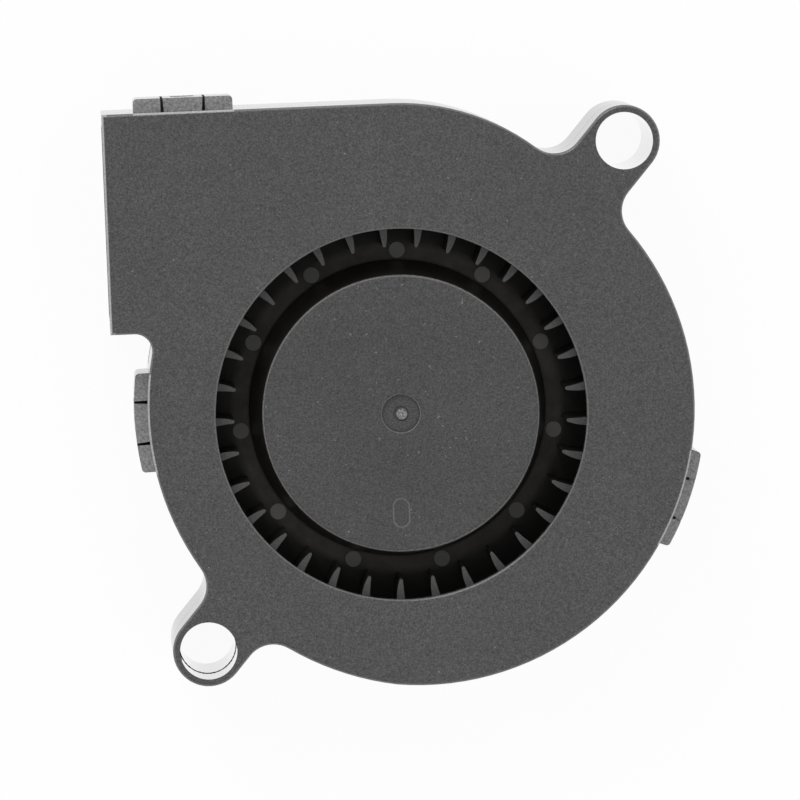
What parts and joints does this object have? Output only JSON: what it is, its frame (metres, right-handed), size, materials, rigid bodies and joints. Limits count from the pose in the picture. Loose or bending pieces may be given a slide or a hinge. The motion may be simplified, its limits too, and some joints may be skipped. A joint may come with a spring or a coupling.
{
  "type": "dc blower fan",
  "caption": "Flat centrifugal blower with a spiral case, round inlet, square side outlet and two diagonal screw ears.",
  "frame": {"origin": "where the rotor axis meets the flat rear face", "axes": "+Z along the rotor axis out of the inlet, -X out of the outlet, +Y towards the outlet's side of the case"},
  "size_m": [0.0512, 0.0521, 0.015],
  "materials": {
    "case_plastic": "matte moulded grain",
    "impeller_plastic": "matte moulded grain",
    "cup_steel": "drawn, zinc plated",
    "magnet": "bonded ferrite",
    "brass": "turned",
    "shaft_steel": "ground",
    "clip_nylon": "natural nylon",
    "bronze": "sintered, oil filled",
    "silicon_steel": "stamped sheet",
    "liner_nylon": "moulded nylon",
    "copper": "enamelled wire",
    "board": "solder mask",
    "tin": "tinned",
    "chip_black": "moulded epoxy",
    "capacitor_tan": "ceramic"
  },
  "bodies": {
    "housing": {"front_cover": "case_plastic", "rear_housing": "case_plastic", "bearing_tube": "brass", "sleeve_bearing": "bronze", "thrust_pad": "clip_nylon", "stator_laminations": "silicon_steel", "upper_insulator": "liner_nylon", "lower_insulator": "liner_nylon", "coil_1": "copper", "coil_2": "copper", "coil_3": "copper", "coil_4": "copper", "circuit_board": "board", "terminal_pins": "tin", "solder_joints": "tin", "lead_lands": "tin", "driver_chip": "chip_black", "board_capacitor": "capacitor_tan", "board_resistor": "chip_black", "board_diode": "chip_black"},
    "rotor": {"impeller": "impeller_plastic", "rotor_yoke": "cup_steel", "rotor_magnet": "magnet", "hub_bush": "brass", "shaft": "shaft_steel", "retaining_clip": "clip_nylon", "oil_ring": "clip_nylon"}
  },
  "joints": [
    {"name": "rotor_spin", "type": "hinge", "parent": "housing", "child": "rotor", "pos_m": [0, 0, 0.0075], "axis": [0, 0, 1], "continuous": true}
  ]
}
